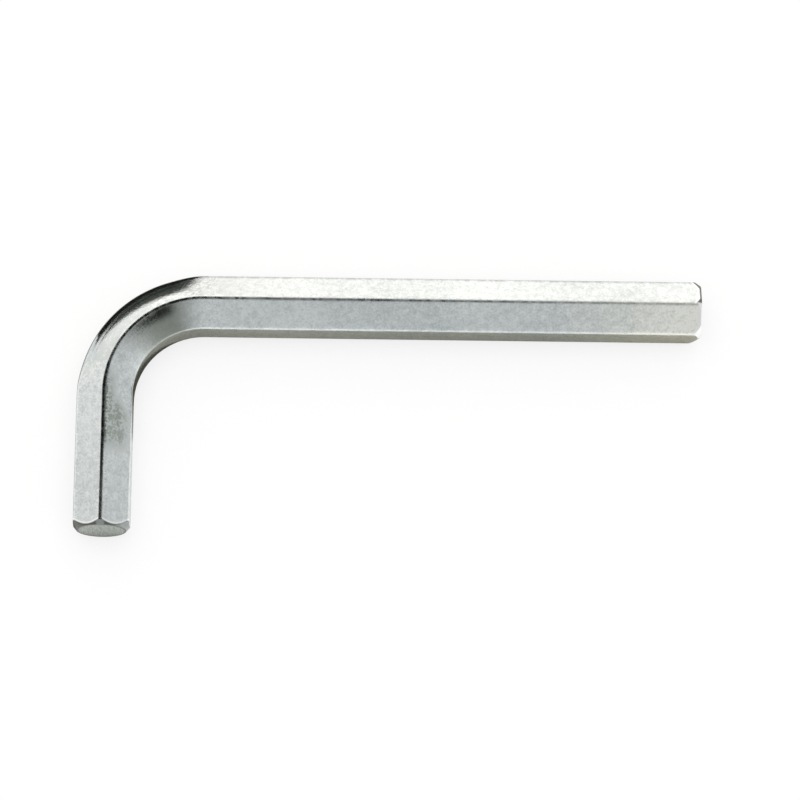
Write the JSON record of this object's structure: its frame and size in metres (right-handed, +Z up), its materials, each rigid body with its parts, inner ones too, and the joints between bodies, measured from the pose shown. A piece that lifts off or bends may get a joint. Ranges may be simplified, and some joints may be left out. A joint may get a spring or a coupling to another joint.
{
  "type": "hex key",
  "caption": "L-shaped hexagon key bent from satin-plated steel bar, with a turned chamfer at both tips, for driving socket-head screws.",
  "frame": {"origin": "centre of the outline seen from above, at the level of the ridge that the key lies on", "axes": "+X along the long arm towards its tip, -Y along the short arm towards its tip, +Z up out of the plane of the bend"},
  "size_m": [0.134, 0.0564, 0.0135],
  "materials": {
    "plated_steel": "satin nickel plate over drawn steel"
  },
  "bodies": {
    "root": {"hex_key": "plated_steel"}
  },
  "joints": []
}
